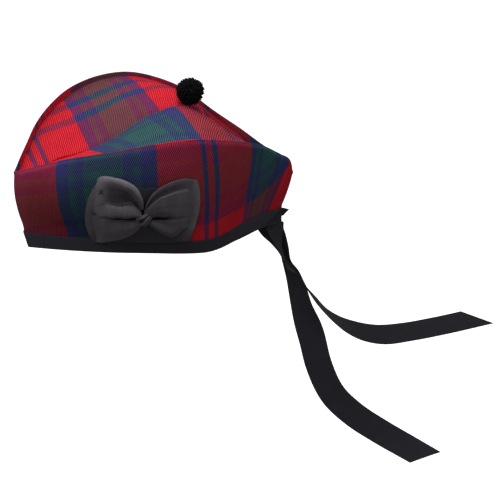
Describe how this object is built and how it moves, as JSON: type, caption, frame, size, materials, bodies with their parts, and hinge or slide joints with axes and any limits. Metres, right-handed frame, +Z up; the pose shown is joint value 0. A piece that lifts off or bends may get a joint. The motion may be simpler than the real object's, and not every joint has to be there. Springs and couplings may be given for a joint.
{
  "type": "glengarry",
  "caption": "Boat-shaped tartan cap with a creased crown, a bound edge, a pompom on the crease, a ribbon bow on its left side and ribbon tails that hang behind",
  "frame": {"origin": "middle of the head opening, level with the front of the bottom edge, where a head holds the cap", "axes": "+X towards the back of the cap, where the tails hang, +Y towards its right side, +Z up"},
  "size_m": [0.5201, 0.1951, 0.4518],
  "materials": {
    "tartan": "worsted wool twill in a red, green and blue tartan",
    "black_ribbon": "black ribbed ribbon",
    "charcoal_ribbon": "charcoal ribbed ribbon",
    "black_wool": "cut wool yarn"
  },
  "bodies": {
    "root": {"side_wall_left": "tartan", "side_wall_right": "tartan", "crown_left": "tartan", "crown_right": "tartan", "binding": "black_ribbon", "toorie": "black_wool", "cockade_backing": "charcoal_ribbon", "cockade_loop_front": "charcoal_ribbon", "cockade_loop_back": "charcoal_ribbon", "cockade_knot": "charcoal_ribbon", "ribbon_tail_long": "black_ribbon", "ribbon_tail_short": "black_ribbon", "back_tab": "black_ribbon"}
  },
  "joints": []
}
